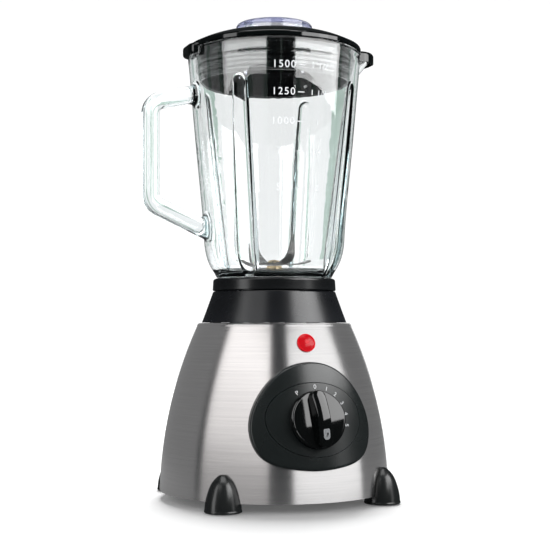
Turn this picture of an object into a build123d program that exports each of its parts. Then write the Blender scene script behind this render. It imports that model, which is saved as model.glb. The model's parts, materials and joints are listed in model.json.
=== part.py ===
from build123d import *
import math
import os

# Countertop blender, millimetres. Z is up from the table, the control panel faces -Y,
# the jug's handle is at -X and its pouring lip at +X. The motor's axis is the Z axis.

# ---- steel shell
ARC_CENTRE_R = -250.9
ARC_CENTRE_Z = -2.2
ARC_RADIUS = 343.4
SHELL_BOTTOM = 7.3
SHELL_SHOULDER = 138.2
SHELL_TOP = 141.0
SHELL_WALL = 0.9
SHELL_MOUTH_R = 56.0
HEM_TOP = 9.6

# ---- neck and jug socket
NECK_BOTTOM = 141.2
NECK_TOP = 166.2
NECK_FOOT_R = 58.5
NECK_RIM_R = 49.4
SOCKET_R = 45.2
SOCKET_FLOOR = 152.5
DECK_UNDER = 149.5
DRIVE_HOLE_R = 17.0
LONG_POST_RADIUS = 50.0
MOTOR_POST_OFFSET = 24.0

# ---- motor
SHAFT_R = 4.0
SHAFT_BORE_R = 4.05
STATOR_BOTTOM = 55.0
STATOR_TOP = 93.0
STATOR_ROUND_R = 53.0
BORE_R = 22.5
ARMATURE_R = 21.9
COIL_IN = 24.0
COIL_OUT = 33.0
LEG_OFFSET = 34.0
LEG_R = 5.5
BOLT_R = 2.0
FAN_R = 38.0
FAN_BLADES = 11

# ---- control panel
KNOB_Z = 67.9
PANEL_PROUD = 4.6
DIAL_CENTRE_Z = 69.0
DIAL_HALF_W = 37.7
DIAL_HALF_H = 27.1
KNOB_R = 22.0
KNOB_BASE = 5.3
KNOB_BAR_TOP = 14.4
KNOB_CROWN_R = 50.0
KNOB_ACROSS_R = 13.0
KNOB_REST_TURN = 6.0
SWITCH_STEM_R = 3.03
BADGE_Z = 125.5
BADGE_R = 7.2

# ---- feet
FOOT_RADIUS = 92.3
FOOT_R = 14.2
FOOT_LOW = 0.6
FOOT_APEX = 28.5
PAD_R = 7.0

# ---- jug
GLASS_RIM_Z = 357.6
GLASS_FOOT_Z = 176.9
GLASS_NECK_R = 40.0
GLASS_NECK_BORE = 35.0
GLASS_NECK_BOTTOM = 163.0
WALL = 4.5
FLUTE_R = 6.5
FLUTE_TOP = 324.3
FLUTE_TOP_R = 64.9
FLUTE_FOOT_R = 44.2
FLUTE_ANGLES = (45, 135, 225, 315)

# ---- handle, jug half-plane at -X
HANDLE_X = -103.2
HANDLE_DEPTH = 13.2
HANDLE_WIDTH = 14.0
HANDLE_WELD_R = 5.0

# ---- lid and cap
LID_R = 70.0
LID_EDGE_Z = 358.1
LID_TOP_Z = 372.2
LID_HOLE_R = 24.8
PLUG_R = 60.0
PLUG_BOTTOM = 333.6
CAP_R = 31.2
CAP_TOP_Z = 381.8
CAP_PLUG_R = 24.3
CAP_BOTTOM = 344.0

# ---- collar and blade unit
COLLAR_R = 49.8
COLLAR_STEP_Z = 166.8
COLLAR_TOP = 176.5
COLLAR_BORE = 42.2
COLLAR_SKIRT_R = 44.8
COLLAR_BOTTOM = 153.6
BLADE_THICK = 1.3
LOWER_BLADE_Z = 186.65
UPPER_BLADE_Z = 188.02
UPPER_BLADE_ANGLE = -60.0
LOWER_BLADE_ANGLE = 5.0
BLADE_BORE = 3.52
BLADE_SHAFT_R = 3.5


def shell_r(z, offset=0.0):
    """Radius of the shell's outside at height z, moved outwards along the normal."""
    return ARC_CENTRE_R + math.sqrt((ARC_RADIUS + offset) ** 2 - (z - ARC_CENTRE_Z) ** 2)


def shell_tilt(z):
    """Angle in degrees that the shell's normal rises above level at height z."""
    return math.degrees(math.asin((z - ARC_CENTRE_Z) / ARC_RADIUS))


def at(r, z):
    return Vector(r, 0, z)


def turned(*edges):
    """Solid of revolution about Z from the edges of a closed outline in the XZ plane."""
    return revolve(make_face(list(edges)), axis=Axis.Z, revolution_arc=360)


def ring_outline(*points):
    """Solid of revolution about Z from the corners of a closed outline."""
    corners = [at(r, z) for r, z in points]
    return turned(Polyline(*corners, close=True))


def tube(outer, inner, bottom, top):
    return ring_outline((inner, bottom), (outer, bottom), (outer, top), (inner, top))


def rod(radius, bottom, top, x=0.0, y=0.0):
    bar = Cylinder(radius, top - bottom, align=(Align.CENTER, Align.CENTER, Align.MIN))
    return Pos(x, y, bottom) * bar


def block(x0, x1, y0, y1, z0, z1):
    box = Box(x1 - x0, y1 - y0, z1 - z0, align=(Align.MIN, Align.MIN, Align.MIN))
    return Pos(x0, y0, z0) * box


def around(shape, angles):
    return [Rot(0, 0, angle) * shape for angle in angles]


def sector(inner, outer, start, stop, bottom, top):
    """Annular sector between two angles in degrees."""
    a = math.radians(start)
    b = math.radians(stop)
    m = (a + b) / 2
    in_a = Vector(inner * math.cos(a), inner * math.sin(a), bottom)
    in_b = Vector(inner * math.cos(b), inner * math.sin(b), bottom)
    in_m = Vector(inner * math.cos(m), inner * math.sin(m), bottom)
    out_a = Vector(outer * math.cos(a), outer * math.sin(a), bottom)
    out_b = Vector(outer * math.cos(b), outer * math.sin(b), bottom)
    out_m = Vector(outer * math.cos(m), outer * math.sin(m), bottom)
    outline = [
        ThreePointArc(in_a, in_m, in_b),
        Line(in_b, out_b),
        ThreePointArc(out_b, out_m, out_a),
        Line(out_a, in_a),
    ]
    return extrude(make_face(outline), amount=top - bottom, dir=(0, 0, 1))


def body_within(offset, bottom=-5.0, top=150.0):
    """Everything inside the shell's outside surface, moved by offset."""
    middle = (bottom + top) / 2
    curve = ThreePointArc(
        at(shell_r(bottom, offset), bottom),
        at(shell_r(middle, offset), middle),
        at(shell_r(top, offset), top),
    )
    return turned(
        curve,
        Line(at(shell_r(top, offset), top), at(0, top)),
        Line(at(0, top), at(0, bottom)),
        Line(at(0, bottom), at(shell_r(bottom, offset), bottom)),
    )


def panel_frame(z):
    """Location on the front of the shell at height z with local +Z along the normal."""
    tilt = shell_tilt(z)
    return Pos(0, -shell_r(z), z) * Rot(90 - tilt, 0, 0)


def steel_shell():
    inner = -SHELL_WALL
    mid = 75.0
    shoulder_in = SHELL_SHOULDER - 0.6
    outside = ThreePointArc(
        at(shell_r(SHELL_BOTTOM), SHELL_BOTTOM),
        at(shell_r(mid), mid),
        at(shell_r(SHELL_SHOULDER), SHELL_SHOULDER),
    )
    inside = ThreePointArc(
        at(shell_r(HEM_TOP, inner), HEM_TOP),
        at(shell_r(mid, inner), mid),
        at(shell_r(shoulder_in, inner), shoulder_in),
    )
    top_r = shell_r(SHELL_SHOULDER) - 2.8
    top_in = SHELL_TOP - SHELL_WALL
    in_r = shell_r(shoulder_in, inner)
    skin = turned(
        outside,
        ThreePointArc(
            at(shell_r(SHELL_SHOULDER), SHELL_SHOULDER),
            at(shell_r(SHELL_SHOULDER) - 0.75, SHELL_TOP - 0.85),
            at(top_r, SHELL_TOP),
        ),
        Line(at(top_r, SHELL_TOP), at(SHELL_MOUTH_R, SHELL_TOP)),
        Line(at(SHELL_MOUTH_R, SHELL_TOP), at(SHELL_MOUTH_R, top_in)),
        Line(at(SHELL_MOUTH_R, top_in), at(top_r - 0.2, top_in)),
        ThreePointArc(
            at(top_r - 0.2, top_in),
            at(in_r - 0.6, top_in - 0.8),
            at(in_r, shoulder_in),
        ),
        inside,
        Line(at(shell_r(HEM_TOP, inner), HEM_TOP), at(shell_r(HEM_TOP) - 1.9, HEM_TOP)),
        Line(at(shell_r(HEM_TOP) - 1.9, HEM_TOP), at(shell_r(HEM_TOP) - 1.9, SHELL_BOTTOM)),
        Line(at(shell_r(HEM_TOP) - 1.9, SHELL_BOTTOM), at(shell_r(SHELL_BOTTOM), SHELL_BOTTOM)),
    )
    shaft_hole = panel_frame(KNOB_Z) * Cylinder(5.2, 12)
    skin -= shaft_hole
    for side in (-1, 1):
        skin -= Pos(side * 31, -78, 50) * Rot(90, 0, 0) * Cylinder(2.8, 30)
    skin -= Pos(0, shell_r(24.0), 24.0) * Rot(90, 0, 0) * Cylinder(7.4, 20)
    return skin


def neck_housing():
    flare = ThreePointArc(at(NECK_FOOT_R, NECK_BOTTOM), at(54.5, 151.9), at(49.7, 165.2))
    moulding = turned(
        flare,
        ThreePointArc(at(49.7, 165.2), at(49.2, 165.95), at(48.5, NECK_TOP)),
        Line(at(48.5, NECK_TOP), at(SOCKET_R, NECK_TOP)),
        Line(at(SOCKET_R, NECK_TOP), at(SOCKET_R, SOCKET_FLOOR)),
        Line(at(SOCKET_R, SOCKET_FLOOR), at(DRIVE_HOLE_R, SOCKET_FLOOR)),
        Line(at(DRIVE_HOLE_R, SOCKET_FLOOR), at(DRIVE_HOLE_R, DECK_UNDER)),
        Line(at(DRIVE_HOLE_R, DECK_UNDER), at(48.4, DECK_UNDER)),
        Line(at(48.4, DECK_UNDER), at(48.4, 158.5)),
        Line(at(48.4, 158.5), at(55.4, NECK_BOTTOM)),
        Line(at(55.4, NECK_BOTTOM), at(NECK_FOOT_R, NECK_BOTTOM)),
    )
    long_post = rod(4.5, 10.7, 150.5, x=LONG_POST_RADIUS)
    long_hole = rod(1.7, 5.0, 30.0, x=LONG_POST_RADIUS)
    for angle in (0, 90, 180, 270):
        moulding += Rot(0, 0, angle) * long_post
        moulding -= Rot(0, 0, angle) * long_hole
    for x in (-MOTOR_POST_OFFSET, MOTOR_POST_OFFSET):
        for y in (-MOTOR_POST_OFFSET, MOTOR_POST_OFFSET):
            moulding += rod(5.5, 126.3, 150.5, x, y)
            moulding -= rod(1.7, 120.0, 142.0, x, y)
    return moulding


def panel_outline():
    """Egg-shaped front view of the control panel, in the XZ plane."""
    right = [(0, 111.4), (23.6, 104.2), (41.6, 84.0), (48.0, 60.0), (40.8, 41.0), (18, 32.6), (0, 31.2)]
    left = [(-x, z) for x, z in reversed(right[1:-1])]
    return Spline(*[at(x, z) for x, z in right + left], periodic=True)


def panel_prism(curve_face):
    return extrude(curve_face, amount=110, dir=(0, -1, 0))


def dial_prism(grow):
    oval = Ellipse(DIAL_HALF_W + grow, DIAL_HALF_H + grow)
    face = Pos(0, 0, DIAL_CENTRE_Z) * Rot(90, 0, 0) * oval
    return extrude(face, amount=110, dir=(0, -1, 0))


def control_bezel():
    outline = make_face(panel_outline())
    slab = panel_prism(outline) & body_within(PANEL_PROUD)
    slab -= body_within(0.05)
    long_edges = slab.edges().filter_by(lambda e: e.length > 100)
    slab = fillet(max(long_edges, key=lambda e: -e.position_at(0.5).Y), radius=2.2)
    slab -= dial_prism(0.5) - body_within(PANEL_PROUD - 1.6)
    slab -= panel_frame(KNOB_Z) * Cylinder(9.0, 12)
    for side in (-1, 1):
        peg = Pos(side * 31, -72, 50) * Rot(90, 0, 0) * Cylinder(2.4, 26)
        slab += peg & body_within(2.0)
    return slab


def dial_plate():
    plate = dial_prism(0.0) & body_within(PANEL_PROUD + 0.2)
    plate -= body_within(PANEL_PROUD - 1.5)
    plate -= panel_frame(KNOB_Z) * Cylinder(4.4, 30)
    return plate


def knob_frame():
    """Frame of the knob as it rests: local +Z points away from the panel, +Y along the grip bar."""
    return panel_frame(KNOB_Z) * Rot(0, 0, KNOB_REST_TURN)


def knob_crown():
    """Ring whose outer skin the top of the grip bar follows, curved both along and across."""
    ring = Rot(0, 90, 0) * Torus(KNOB_CROWN_R - KNOB_ACROSS_R, KNOB_ACROSS_R)
    return Pos(0, 0, KNOB_BAR_TOP - KNOB_CROWN_R) * ring


def knob_recess(grow):
    """Oval pocket at the lower end of the grip bar, cut off straight at its top."""
    outline = SlotOverall(8.8 + grow, 4.9 + grow, rotation=90) & Pos(0, -1.0) * Rectangle(8, 8.8 + grow)
    return Pos(0, -11.8, 16.0) * extrude(outline, amount=-6.0 - grow)


def speed_knob():
    disc = turned(
        Line(at(0, 0), at(KNOB_R, 0)),
        Line(at(KNOB_R, 0), at(KNOB_R - 0.2, 1.9)),
        ThreePointArc(at(KNOB_R - 0.2, 1.9), at(KNOB_R - 0.8, 2.9), at(KNOB_R - 2.0, 3.3)),
        ThreePointArc(at(KNOB_R - 2.0, 3.3), at(11, 4.6), at(0, 5.0)),
        Line(at(0, 5.0), at(0, 0)),
    )
    bar = Pos(0, 0, 3.0) * extrude(RectangleRounded(11.6, 2 * KNOB_R - 1.4, 5.3), amount=12.0, taper=3)
    bar &= knob_crown()
    bar = fillet(bar.faces().sort_by(Axis.Z)[-1].edges(), radius=1.5)
    bore = Pos(0, 0, -1) * extrude(Circle(SWITCH_STEM_R) - Pos(0, -5.2) * Rectangle(8, 6), amount=9.6)
    return knob_frame() * Pos(0, 0, KNOB_BASE) * (disc + bar - knob_recess(0.05) - bore)


def knob_inlay():
    """Pale oval let into the lower end of the grip bar, with a small dimple."""
    oval = knob_recess(0.0) & Pos(0, 0, 0.1) * knob_crown()
    oval -= Pos(0.2, -12.6, 15.0) * extrude(SlotOverall(3.2, 1.9, rotation=60), amount=-3.8)
    return knob_frame() * Pos(0, 0, KNOB_BASE) * oval


def switch_shaft():
    stem = extrude(Circle(3.0) - Pos(0, -5.17) * Rectangle(8, 6), amount=16.2)
    return knob_frame() * Pos(0, 0, -2.8) * stem


def switch_body():
    case = Pos(0, 0, -12.2) * Box(31, 31, 17.6)
    case = fillet(case.edges().filter_by(Axis.Z), radius=3)
    bushing = Pos(0, 0, -0.9) * Cylinder(4.7, 6.4)
    case += bushing
    case -= Pos(0, 0, 0.2) * Cylinder(3.05, 6.2)
    return panel_frame(KNOB_Z) * case


def switch_nut():
    nut = extrude(RegularPolygon(7.4, 6) - Circle(4.75), amount=1.9)
    return panel_frame(KNOB_Z) * Pos(0, 0, 0.2) * nut


def switch_terminals():
    tabs = []
    for k in range(5):
        tabs.append(panel_frame(KNOB_Z) * Pos(-10 + 5 * k, 4 * (-1) ** k, -24.1) * Box(0.8, 4.0, 6.0))
    return tabs


def badge():
    """Red button with a lens-shaped front, cut to the shell behind."""
    crown = 2.7
    edge_height = 1.2
    sag = crown - edge_height
    ball_r = (BADGE_R**2 + sag**2) / (2 * sag)
    button = rod(BADGE_R, -4.0, 4.0) & Pos(0, 0, crown - ball_r) * Sphere(ball_r)
    return panel_frame(BADGE_Z) * button - body_within(0.03)


def foot():
    """One bullet-shaped foot on the +X axis, cut to the shell."""
    side = [at(13.3, 8.2), at(11.1, 16.4), at(7.8, 23.2), at(4.2, 27.0)]
    bullet = turned(
        Line(at(0, FOOT_LOW), at(FOOT_R - 0.5, FOOT_LOW)),
        Line(at(FOOT_R - 0.5, FOOT_LOW), at(FOOT_R, FOOT_LOW + 0.5)),
        Line(at(FOOT_R, FOOT_LOW + 0.5), at(FOOT_R, 1.8)),
        Line(at(FOOT_R, 1.8), at(FOOT_R - 0.3, 2.6)),
        Spline(at(FOOT_R - 0.3, 2.6), *side, at(0, FOOT_APEX), tangents=((-0.06, 0, 1), (-1, 0, -0.1))),
        Line(at(0, FOOT_APEX), at(0, FOOT_LOW)),
    )
    bullet = Pos(FOOT_RADIUS, 0, 0) * bullet
    bullet -= body_within(0.08) & Pos(0, 0, SHELL_BOTTOM - 0.1 + 50) * Box(300, 300, 100)
    bullet -= rod(PAD_R + 0.02, 0, 2.8, x=FOOT_RADIUS + 1.6)
    bullet -= rod(1.7, 0, 9, x=81.2)
    bullet -= rod(3.3, 0, 3.6, x=81.2)
    return bullet


def foot_pads():
    pad = rod(PAD_R, 0, 2.75, x=FOOT_RADIUS + 1.6)
    return around(pad, FLUTE_ANGLES)


def foot_screws():
    screw = rod(3.1, 1.2, 3.55, x=81.2) + rod(1.6, 3.5, 14.5, x=81.2)
    screw -= Pos(81.2, 0, 1.2) * Box(4.6, 0.8, 1.6)
    return around(screw, FLUTE_ANGLES)


def base_plate():
    plate = rod(89.8, 7.6, 10.4)
    plate += tube(89.8, 87.6, 10.3, 13.6)
    for angle in FLUTE_ANGLES:
        plate += Rot(0, 0, angle) * rod(4.2, 10.3, 17.0, x=81.2)
        plate -= Rot(0, 0, angle) * rod(1.7, 7.0, 16.0, x=81.2)
    for angle in (0, 90, 180, 270):
        plate -= Rot(0, 0, angle) * rod(1.9, 7.0, 11.0, x=LONG_POST_RADIUS)
        plate -= Rot(0, 0, angle) * rod(4.0, 7.0, 8.9, x=LONG_POST_RADIUS)
    slot = Pos(26, 0, 9) * Box(22, 3.2, 6)
    for k in range(20):
        plate -= Rot(0, 0, 18 * k + 9) * slot
    return plate


def base_screws():
    screw = rod(3.7, 6.9, 8.85, x=LONG_POST_RADIUS) + rod(1.6, 8.8, 28.0, x=LONG_POST_RADIUS)
    screw -= Pos(LONG_POST_RADIUS, 0, 6.9) * Box(5.4, 0.9, 1.6)
    return around(screw, (0, 90, 180, 270))


def cord_gland():
    centre_z = 24.0
    bush = Pos(0, 87.5, centre_z) * Rot(90, 0, 0) * Cylinder(7.3, 21)
    lip_out = Pos(0, 90.5, centre_z) * Rot(90, 0, 0) * Cylinder(10.5, 9) - body_within(0.05)
    lip_in = Pos(0, 85.5, centre_z) * Rot(90, 0, 0) * Cylinder(9.4, 9) & body_within(-SHELL_WALL - 0.1)
    bush += lip_out
    bush += lip_in
    return bush - Pos(0, 90, centre_z) * Rot(90, 0, 0) * Cylinder(3.6, 40)


def motor_shaft():
    return rod(SHAFT_R, 16, 159.5)


def cooling_fan():
    fan = rod(9, 18, 31) + tube(FAN_R, 8, 29.2, 30.8)
    vane = block(8.5, FAN_R, -0.8, 0.8, 18.5, 29.4)
    for k in range(FAN_BLADES):
        fan += Rot(0, 0, 360 / FAN_BLADES * k) * vane
    return fan - rod(SHAFT_R + 0.01, 0, 60)


def armature_core():
    core = rod(ARMATURE_R, STATOR_BOTTOM, STATOR_TOP) - rod(SHAFT_R + 0.01, 0, 120)
    slot = block(9.6, 20.4, -1.9, 1.9, 40, 110)
    mouth = block(20, 23, -0.8, 0.8, 40, 110)
    for k in range(12):
        core -= Rot(0, 0, 30 * k) * slot
        core -= Rot(0, 0, 30 * k) * mouth
    return core


def armature_windings():
    top = Pos(0, 0, STATOR_TOP + 0.3) * tube(19.8, 5.2, 0, 6.4)
    bottom = Pos(0, 0, STATOR_BOTTOM - 6.7) * tube(19.8, 5.2, 0, 6.4)
    top = fillet(top.edges().group_by(Axis.Z)[-1], radius=2.5)
    bottom = fillet(bottom.edges().group_by(Axis.Z)[0], radius=2.5)
    coil = top + bottom
    bar = block(10.0, 19.6, -1.6, 1.6, STATOR_BOTTOM - 1.0, STATOR_TOP + 1.0)
    for k in range(12):
        coil += Rot(0, 0, 30 * k) * bar
    return coil


def commutator():
    drum = rod(12.0, 101.2, 111.5) + rod(9.0, 99.9, 101.4)
    for k in range(24):
        drum -= Rot(0, 0, 15 * k + 7.5) * block(11.3, 13, -0.25, 0.25, 101.0, 112)
    return drum - rod(SHAFT_R + 0.01, 0, 120)


def motor_drive_coupling():
    dog = rod(15.4, 150.6, 153.6) + rod(6.6, 143.5, 160.6)
    tooth = sector(5.8, 14.2, -12, 12, 153.4, 160.6)
    for k in range(6):
        dog += Rot(0, 0, 60 * k) * tooth
    return dog - rod(SHAFT_R + 0.01, 140, 165)


def stator_core():
    core = block(-42, 42, -42, 42, STATOR_BOTTOM, STATOR_TOP) & rod(STATOR_ROUND_R, 50, 100)
    core -= rod(BORE_R, 50, 100)
    for middle in (0, 180):
        core -= sector(20.0, COIL_OUT + 0.6, middle - 40, middle + 40, 50, 100)
    for x in (-LEG_OFFSET, LEG_OFFSET):
        for y in (-LEG_OFFSET, LEG_OFFSET):
            core -= rod(BOLT_R + 0.2, 50, 100, x, y)
    return core


def field_coils():
    coils = []
    for middle in (90, 270):
        top = sector(COIL_IN, COIL_OUT, middle - 86, middle + 86, STATOR_TOP + 0.3, STATOR_TOP + 6.6)
        low = sector(COIL_IN, COIL_OUT, middle - 86, middle + 86, STATOR_BOTTOM - 6.6, STATOR_BOTTOM - 0.3)
        coil = top + low
        for side in (-1, 1):
            a = middle + side * 54
            b = middle + side * 86
            coil += sector(COIL_IN, COIL_OUT, min(a, b), max(a, b), STATOR_BOTTOM - 1, STATOR_TOP + 1)
        coils.append(coil)
    return coils


def end_frame_arms(bottom, top):
    arms = Pos(0, 0, (bottom + top) / 2) * Rot(0, 0, 45) * Box(97, 11, top - bottom)
    arms += Pos(0, 0, (bottom + top) / 2) * Rot(0, 0, -45) * Box(97, 11, top - bottom)
    return arms


def upper_end_frame():
    frame = end_frame_arms(118, 122) + rod(15, 112.8, 124)
    frame += block(-37, 37, -8, 8, 112.8, 115.0)
    for x in (-1, 1):
        for y in (-1, 1):
            frame += rod(LEG_R, STATOR_TOP + 0.05, 122, x * LEG_OFFSET, y * LEG_OFFSET)
            frame -= rod(BOLT_R + 0.2, 90, 130, x * LEG_OFFSET, y * LEG_OFFSET)
            frame -= rod(1.8, 110, 130, x * MOTOR_POST_OFFSET, y * MOTOR_POST_OFFSET)
    frame -= rod(9.02, 115.0, 126)
    return frame - rod(6.0, 110, 120)


def lower_end_frame():
    frame = end_frame_arms(36, 40) + rod(15, 34.5, 44)
    for x in (-1, 1):
        for y in (-1, 1):
            frame += rod(LEG_R, 36, STATOR_BOTTOM - 0.05, x * LEG_OFFSET, y * LEG_OFFSET)
            frame -= rod(BOLT_R + 0.02, 30, 60, x * LEG_OFFSET, y * LEG_OFFSET)
    frame -= rod(9.02, 36.5, 50)
    return frame - rod(6.0, 30, 40)


def upper_bearing():
    bush = rod(9.0, 115.05, 123.2)
    bush = fillet(bush.edges().filter_by(GeomType.CIRCLE), radius=1.0)
    return bush - rod(SHAFT_BORE_R, 110, 130)


def lower_bearing():
    bush = rod(9.0, 36.55, 43.6)
    bush = fillet(bush.edges().filter_by(GeomType.CIRCLE), radius=1.0)
    return bush - rod(SHAFT_BORE_R, 30, 50)


def brush_holders():
    holder = block(13.4, 37, -5.4, 5.4, 100.6, 112.75)
    holder -= block(13.0, 36, -3.65, 3.65, 102.3, 110.7)
    return [holder, Rot(0, 0, 180) * holder]


def carbon_brushes():
    brush = block(8, 25, -3.6, 3.6, 102.35, 110.65) - rod(12.06, 90, 120)
    return [brush, Rot(0, 0, 180) * brush]


def brush_springs():
    coil_path = Helix(pitch=2.4, height=9.6, radius=2.6)
    wire = sweep(Plane(coil_path @ 0, z_dir=coil_path % 0) * Circle(0.4), path=coil_path)
    spring = Pos(25.6, 0, 106.5) * Rot(0, 90, 0) * wire
    return [spring, Rot(0, 0, 180) * spring]


def motor_bolts():
    bolts = []
    for x in (-LEG_OFFSET, LEG_OFFSET):
        for y in (-LEG_OFFSET, LEG_OFFSET):
            bolt = rod(BOLT_R, 35.0, 122.2, x, y) + rod(3.8, 122.05, 124.8, x, y)
            bolts.append(bolt - Pos(x, y, 124.8) * Box(6.2, 0.9, 2.0))
    return bolts


def rubber_mounts():
    rings = []
    waisted = ring_outline((1.9, 122.05), (6.4, 122.05), (5.4, 124.1), (6.4, 126.25), (1.9, 126.25))
    for x in (-MOTOR_POST_OFFSET, MOTOR_POST_OFFSET):
        for y in (-MOTOR_POST_OFFSET, MOTOR_POST_OFFSET):
            rings.append(Pos(x, y, 0) * waisted)
    return rings


def motor_mount_screws():
    screws = []
    for x in (-MOTOR_POST_OFFSET, MOTOR_POST_OFFSET):
        for y in (-MOTOR_POST_OFFSET, MOTOR_POST_OFFSET):
            screws.append(rod(3.6, 115.4, 117.95, x, y) + rod(1.6, 117.8, 140.0, x, y))
    return screws


def glass_outside():
    lower = (56.7, 206.3)
    wall_points = [(68.9, 346.0), (67.2, 326.0), (61.6, 264.4), (59.2, 240.0), lower]
    wall = Spline(*[at(r, z) for r, z in wall_points])
    corner = [at(54.9, 195.0), at(51.6, 186.4), at(47.0, 178.4)]
    turn = Spline(at(*lower), *corner, tangents=(wall % 1, (-1, 0, -2.2)))
    rim = at(69.7, GLASS_RIM_Z - 1.8)
    return turned(
        Line(at(0, GLASS_RIM_Z), at(68.6, GLASS_RIM_Z)),
        ThreePointArc(at(68.6, GLASS_RIM_Z), at(69.4, GLASS_RIM_Z - 0.6), rim),
        Spline(rim, at(69.4, 350.5), at(68.9, 346.0), tangents=((0, 0, -1), wall % 0)),
        wall,
        turn,
        ThreePointArc(at(47.0, 178.4), at(46.3, 177.4), at(45.2, GLASS_FOOT_Z)),
        Line(at(45.2, GLASS_FOOT_Z), at(0, GLASS_FOOT_Z)),
        Line(at(0, GLASS_FOOT_Z), at(0, GLASS_RIM_Z)),
    )


def glass_inside():
    lower = (52.0, 206.3)
    wall_points = [(64.6, 346.0), (62.8, 326.0), (57.1, 264.4), (54.6, 240.0), lower]
    wall = Spline(*[at(r, z) for r, z in wall_points])
    bowl = [at(50.3, 196.4), at(47.4, 188.8), at(43.2, 183.0)]
    floor_edge = at(38.6, 180.9)
    bore_top = at(GLASS_NECK_BORE, 179.2)
    floor = Spline(at(*lower), *bowl, floor_edge, tangents=(wall % 1, (-1, 0, -0.12)))
    return turned(
        Line(at(0, 365), at(65.2, 365)),
        Line(at(65.2, 365), at(65.2, 352)),
        Spline(at(65.2, 352), at(64.6, 346.0), tangents=((0, 0, -1), wall % 0)),
        wall,
        floor,
        Spline(floor_edge, at(36.2, 180.4), bore_top, tangents=((-1, 0, -0.12), (0, 0, -1))),
        Line(bore_top, at(GLASS_NECK_BORE, 155)),
        Line(at(GLASS_NECK_BORE, 155), at(0, 155)),
        Line(at(0, 155), at(0, 365)),
    )


def flute(radius):
    """Groove cutter on the +X axis: a leaning round bar with a ball end."""
    top = at(FLUTE_TOP_R + FLUTE_R, FLUTE_TOP)
    bottom = at(FLUTE_FOOT_R + FLUTE_R, 168.0)
    length = (top - bottom).length
    half = math.sqrt(0.5) * radius
    bar = turned(
        Line(at(0, 0), at(radius, 0)),
        Line(at(radius, 0), at(radius, length)),
        ThreePointArc(at(radius, length), at(half, length + half), at(0, length + radius)),
        Line(at(0, length + radius), at(0, 0)),
    )
    return Plane(bottom, x_dir=(0, 1, 0), z_dir=top - bottom) * bar


def handle():
    path = FilletPolyline(
        at(-60.5, 323.2),
        at(-88.0, 317.0),
        at(HANDLE_X, 313.4),
        at(HANDLE_X, 234.8),
        at(-79.0, 223.9),
        at(-53.0, 212.2),
        radius=11.5,
    )
    start = Plane(path @ 0, x_dir=(0, 1, 0), z_dir=path % 0)
    section = start * RectangleRounded(HANDLE_WIDTH, HANDLE_DEPTH, 4.4)
    return sweep(section, path=path, transition=Transition.ROUND)


def lip(base_r, top_r, base_z, top_z):
    base = Pos(52.5, 0, base_z) * Circle(base_r)
    top = Pos(67.5, 0, top_z) * Circle(top_r)
    return loft([base, top])


def jar_glass():
    solid = glass_outside() + handle()
    seams = solid.edges().filter_by(lambda e: -68 < e.center().X < -56 and abs(e.center().Y) < 8)
    solid = fillet(seams.filter_by(lambda e: e.length < 9), radius=HANDLE_WELD_R)
    solid += lip(14.5, 16.2, 338.0, GLASS_RIM_Z)
    cavity = glass_inside()
    for angle in FLUTE_ANGLES:
        solid -= Rot(0, 0, angle) * flute(FLUTE_R)
        cavity -= Rot(0, 0, angle) * flute(FLUTE_R + WALL)
    solid += rod(GLASS_NECK_R, GLASS_NECK_BOTTOM, GLASS_FOOT_Z + 0.5)
    for z in (166.0, 171.2):
        solid += tube(41.8, GLASS_NECK_R - 1, z, z + 1.8)
    solid -= cavity
    return solid - lip(10.4, 12.2, 338.0, GLASS_RIM_Z + 0.01)


def jar_collar():
    ring = turned(
        Line(at(COLLAR_SKIRT_R, COLLAR_BOTTOM), at(COLLAR_SKIRT_R, COLLAR_STEP_Z)),
        Line(at(COLLAR_SKIRT_R, COLLAR_STEP_Z), at(COLLAR_R - 0.5, COLLAR_STEP_Z)),
        Line(at(COLLAR_R - 0.5, COLLAR_STEP_Z), at(COLLAR_R, COLLAR_STEP_Z + 0.5)),
        Line(at(COLLAR_R, COLLAR_STEP_Z + 0.5), at(COLLAR_R - 0.4, 174.2)),
        ThreePointArc(at(COLLAR_R - 0.4, 174.2), at(COLLAR_R - 1.2, 175.9), at(COLLAR_R - 3.0, COLLAR_TOP)),
        Line(at(COLLAR_R - 3.0, COLLAR_TOP), at(COLLAR_BORE, COLLAR_TOP)),
        Line(at(COLLAR_BORE, COLLAR_TOP), at(COLLAR_BORE, 158.1)),
        Line(at(COLLAR_BORE, 158.1), at(31.0, 158.1)),
        Line(at(31.0, 158.1), at(31.0, 155.4)),
        Line(at(31.0, 155.4), at(38.5, 155.4)),
        Line(at(38.5, 155.4), at(38.5, COLLAR_BOTTOM)),
        Line(at(38.5, COLLAR_BOTTOM), at(COLLAR_SKIRT_R, COLLAR_BOTTOM)),
    )
    return ring + tube(COLLAR_BORE + 0.5, 40.4, 168.4, 170.6)


def blade_base():
    dome = turned(
        Line(at(40.0, 158.15), at(40.0, 160.9)),
        Line(at(40.0, 160.9), at(34.2, 160.9)),
        Line(at(34.2, 160.9), at(34.2, 176.0)),
        ThreePointArc(at(34.2, 176.0), at(33.3, 178.4), at(31.0, 179.6)),
        Line(at(31.0, 179.6), at(9.4, 180.2)),
        Line(at(9.4, 180.2), at(6.02, 180.2)),
        Line(at(6.02, 180.2), at(6.02, 167.5)),
        Line(at(6.02, 167.5), at(9.4, 167.5)),
        Line(at(9.4, 167.5), at(9.4, 177.0)),
        Line(at(9.4, 177.0), at(29.6, 176.4)),
        ThreePointArc(at(29.6, 176.4), at(30.8, 175.7), at(31.2, 174.4)),
        Line(at(31.2, 174.4), at(31.2, 158.15)),
        Line(at(31.2, 158.15), at(40.0, 158.15)),
    )
    for k in range(6):
        dome += Rot(0, 0, 60 * k + 30) * block(9.0, 31.4, -0.9, 0.9, 169.0, 177.2)
    return dome


def blade_gasket():
    return tube(40.0, 35.4, 160.93, 162.97)


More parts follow.
